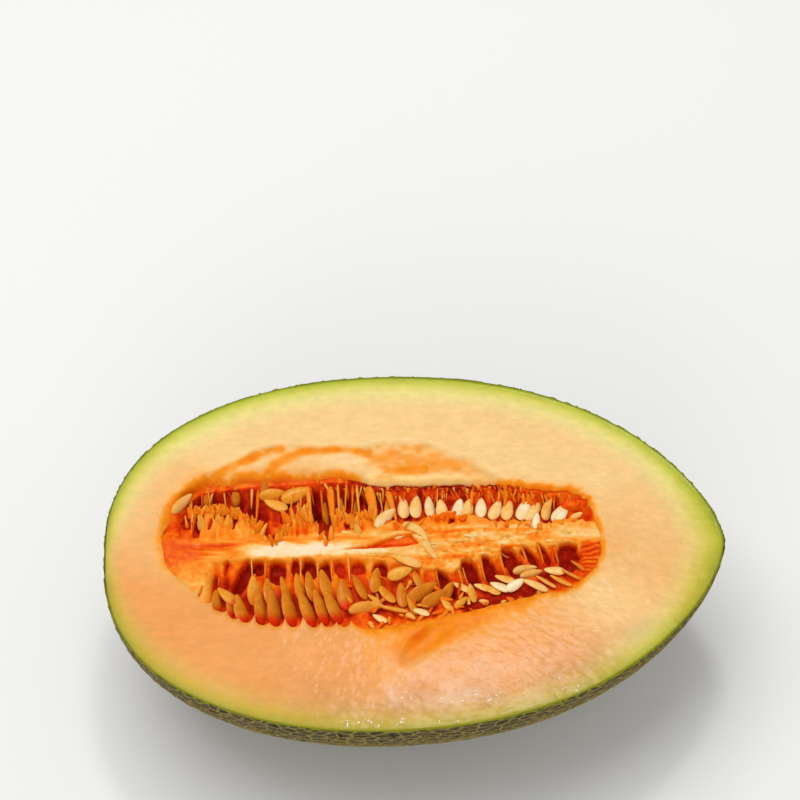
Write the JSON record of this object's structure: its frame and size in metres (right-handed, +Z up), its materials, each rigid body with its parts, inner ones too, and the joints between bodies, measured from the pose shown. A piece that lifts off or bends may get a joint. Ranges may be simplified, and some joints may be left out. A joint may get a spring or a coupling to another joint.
{
  "type": "hami melon half",
  "caption": "Netted melon half cut lengthwise, lying on its round back, with a long seed cavity filled with wet pulp and seeds.",
  "frame": {"origin": "on the floor, under the middle of the melon's length and width", "axes": "+X along the melon towards its tapered end, +Y across the cut face, +Z up out of the cut face"},
  "size_m": [0.23, 0.1452, 0.0732],
  "materials": {
    "flesh": "wet cut melon flesh",
    "pulp": "wet stringy seed pulp",
    "seed": "wet melon seed",
    "rind": "dry corky net on green skin"
  },
  "bodies": {
    "root": {"melon_flesh": "flesh", "seed_pulp": "pulp"}
  },
  "joints": []
}
